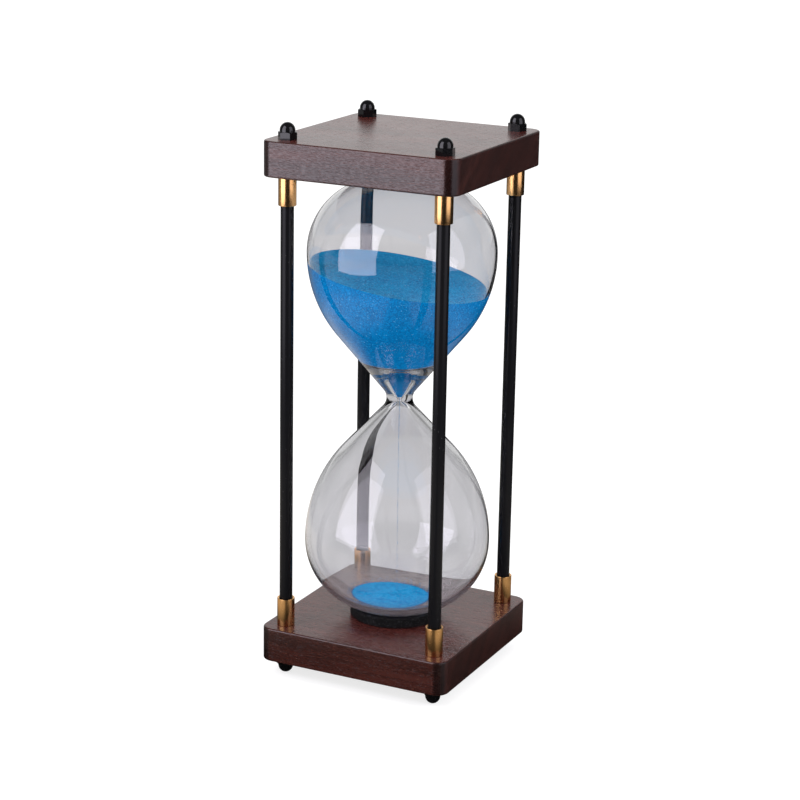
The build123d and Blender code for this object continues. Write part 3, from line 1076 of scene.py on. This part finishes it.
class HOURGLASS_OT_posts(bpy.types.Operator):
    """Make the tubes and ferrules, and finish the tie rods and acorn nuts"""

    bl_idname = "hourglass.posts"
    bl_label = "Posts and fittings"

    def execute(self, context):
        sizes = context.scene.hourglass_frame
        colours = context.scene.hourglass_colours
        for corner in corners:
            add_tube(f"tube_{corner}", f"post_{corner}", sizes.tube_wall, sizes.tube_edge,
                     satin_tube(colours))
            for end in ("lower", "upper"):
                add_tube(f"brass_ferrule_{end}_{corner}", f"{end}_ferrule_{corner}",
                         sizes.ferrule_wall, sizes.ferrule_edge, polished_brass(colours))
        dress([f"tie_rod_{corner}" for corner in corners], zinc_thread(colours))
        dress(["lower_nuts", "upper_nuts"], gloss_nut(colours))
        return {"FINISHED"}


def add_floor(colours):
    reach = 6.0
    mesh = bpy.data.meshes.new("floor")
    mesh.from_pydata([(-reach, -reach, 0), (reach, -reach, 0), (reach, reach, 0),
                      (-reach, reach, 0)], [], [(0, 1, 2, 3)])
    mesh.materials.append(pale_floor(colours))
    piece = put("floor", mesh)


def add_world(scene):
    """White to the eye. It lights from above, and metal and glass see pale walls of their own."""
    world = bpy.data.worlds.new("studio")
    world.use_nodes = True
    world.cycles.sampling_method = "NONE"
    graph = Graph(world.node_tree)
    x, y, z = graph.split(graph.place("Generated"))
    away = depth_of(x, y)
    low = 1 - graph.fade(z, 0.45, 0.95)
    dusk = graph.fade(z, 0.08, 0.20) * (1 - graph.fade(z, 0.38, 0.60))
    gloss = 0.05 + graph.fade(away, 0.55, 0.97) * low * 0.95
    lens = 0.08 + (0.42 + 0.20 * low) * graph.fade(away, -0.1, 0.2) * (1 - dusk * 0.50) \
        + 0.60 * graph.fade(z, 0.3, 0.8)
    ray = graph.node("ShaderNodeLightPath", output="Is Camera Ray")
    strength = 0.13 + 1.20 * graph.fade(z, 0.05, 0.6)
    for share_seen, seen in ((ray.output("Is Glossy Ray"), gloss),
                             (ray.output("Is Transmission Ray"), lens), (ray, 1)):
        strength = strength + share_seen * (seen - strength)
    light = graph.node("ShaderNodeBackground", sockets={"Color": (1, 1, 1, 1),
                                                        "Strength": strength})
    graph.node("ShaderNodeOutputWorld", sockets={"Surface": light})
    scene.world = world


def add_softbox(name, place, size, brightness, lights):
    """A soft panel that faces the hourglass, and either lights it or is reflected in it."""
    lamp = bpy.data.lights.new(name, "AREA")
    lamp.shape = "RECTANGLE"
    lamp.size, lamp.size_y = size
    lamp.energy = brightness * pi * size[0] * size[1]
    lamp.color = lamp_tint
    panel = put(name, lamp)
    panel.location = place
    panel.rotation_mode = "QUATERNION"
    panel.rotation_quaternion = Vector((*place[:2], 0)).to_track_quat("Z", "Y")
    panel.visible_camera = False
    panel.visible_diffuse = lights
    panel.visible_glossy = not lights
    panel.visible_transmission = not lights


def add_camera(scene):
    place = Vector((0.4618, -0.94215, 0.43775))
    yaw, pitch, roll = radians(26.10), radians(16.09), radians(1.03)
    back = Vector((sin(yaw) * cos(pitch), -cos(yaw) * cos(pitch), sin(pitch)))
    right = Vector((cos(yaw), sin(yaw), 0))
    up = back.cross(right)
    level = cos(roll) * right + sin(roll) * up
    upright = -sin(roll) * right + cos(roll) * up
    lens = bpy.data.cameras.new("camera")
    lens.lens = 101.2
    lens.sensor_width = 36
    lens.clip_start = 0.05
    lens.clip_end = 50
    turn = Matrix((level, upright, back)).transposed()
    scene.camera = put("camera", lens)
    scene.camera.matrix_world = Matrix.Translation(place) @ turn.to_4x4()


class HOURGLASS_OT_stage(bpy.types.Operator):
    """Set the pale floor, the studio light and the camera"""

    bl_idname = "hourglass.stage"
    bl_label = "Stage"

    def execute(self, context):
        left, right = (-0.315, -0.568), (0.86, -0.14)
        add_floor(context.scene.hourglass_colours)
        add_world(context.scene)
        add_softbox("window_left", (*left, 0.545), (0.60, 1.05), 3.1, lights=False)
        add_softbox("window_right", (*right, 0.60), (0.78, 1.15), 1.6, lights=False)
        add_softbox("lamp_left", (*left, 0.620), (0.22, 0.30), 16.0, lights=True)
        add_softbox("lamp_right", (*right, 0.70), (0.26, 0.36), 13.0, lights=True)
        add_camera(context.scene)
        context.scene.view_settings.view_transform = "Standard"
        return {"FINISHED"}


class HOURGLASS_PT_sidebar(bpy.types.Panel):
    """The steps that make the hourglass, in their order"""

    bl_idname = "HOURGLASS_PT_sidebar"
    bl_label = "Hourglass"
    bl_space_type = "VIEW_3D"
    bl_region_type = "UI"
    bl_category = "Hourglass"

    def draw(self, context):
        for step in steps:
            self.layout.operator(step.bl_idname)
        for name, group in property_groups.items():
            box = self.layout.box()
            for key in group.__annotations__:
                box.prop(getattr(context.scene, name), key)


steps = (HOURGLASS_OT_plates, HOURGLASS_OT_glass, HOURGLASS_OT_pads, HOURGLASS_OT_sand,
         HOURGLASS_OT_posts, HOURGLASS_OT_stage)
property_groups = {
    "hourglass_frame": FrameSizes,
    "hourglass_glass": GlassSizes,
    "hourglass_sand": SandSizes,
    "hourglass_colours": Colours,
}
classes = (*property_groups.values(), *steps, HOURGLASS_PT_sidebar)


def register():
    for made in classes:
        bpy.utils.register_class(made)
    for name, group in property_groups.items():
        setattr(bpy.types.Scene, name, PointerProperty(type=group))


def unregister():
    for name in property_groups:
        delattr(bpy.types.Scene, name)
    for made in reversed(classes):
        bpy.utils.unregister_class(made)


def main():
    register()
    for step in steps:
        group, name = step.bl_idname.split(".")
        getattr(getattr(bpy.ops, group), name)()


if __name__ == "__main__":
    main()
